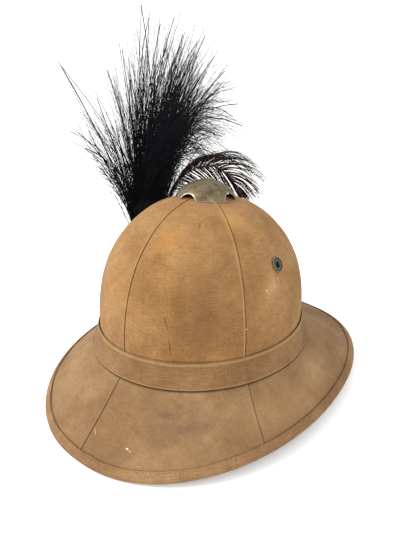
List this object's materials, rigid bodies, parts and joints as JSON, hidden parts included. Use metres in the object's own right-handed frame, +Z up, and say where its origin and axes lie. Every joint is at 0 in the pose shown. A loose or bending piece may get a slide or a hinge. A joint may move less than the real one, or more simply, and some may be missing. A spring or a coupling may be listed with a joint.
{
  "type": "pith helmet",
  "caption": "Cloth-covered sun helmet with a domed sewn crown, wide oval brim, plain band, domed metal ventilator, side eyelets and a tall black side plume.",
  "frame": {"origin": "on the floor under the middle of the brim's outline, helmet resting on its brim", "axes": "+Z up, -Y towards the helmet's front, +X towards the wearer's left"},
  "size_m": [0.28, 0.3758, 0.3507],
  "materials": {
    "cork_shell": "matt pressed cork",
    "crown_cloth": "worn khaki cotton",
    "brim_cloth": "worn khaki cotton",
    "band_cloth": "worn khaki cotton",
    "binding_cloth": "worn khaki cotton",
    "dark_metal": "blackened",
    "tarnished_metal": "tarnished and worn",
    "black_plumage": "soft black plumage",
    "brown_plumage": "soft brown plumage"
  },
  "bodies": {
    "root": {"shell": "cork_shell", "crown_gore_1": "crown_cloth", "crown_gore_2": "crown_cloth", "crown_gore_3": "crown_cloth", "crown_gore_4": "crown_cloth", "crown_gore_5": "crown_cloth", "crown_gore_6": "crown_cloth", "brim_panel_1": "brim_cloth", "brim_panel_2": "brim_cloth", "brim_panel_3": "brim_cloth", "brim_panel_4": "brim_cloth", "brim_panel_5": "brim_cloth", "brim_panel_6": "brim_cloth", "hatband": "band_cloth", "brim_binding": "binding_cloth", "eyelet_left": "dark_metal", "eyelet_right": "dark_metal", "ventilator": "tarnished_metal", "ventilator_stem": "dark_metal", "plume_socket": "dark_metal", "black_plume": "black_plumage", "brown_feather": "brown_plumage"}
  },
  "joints": []
}
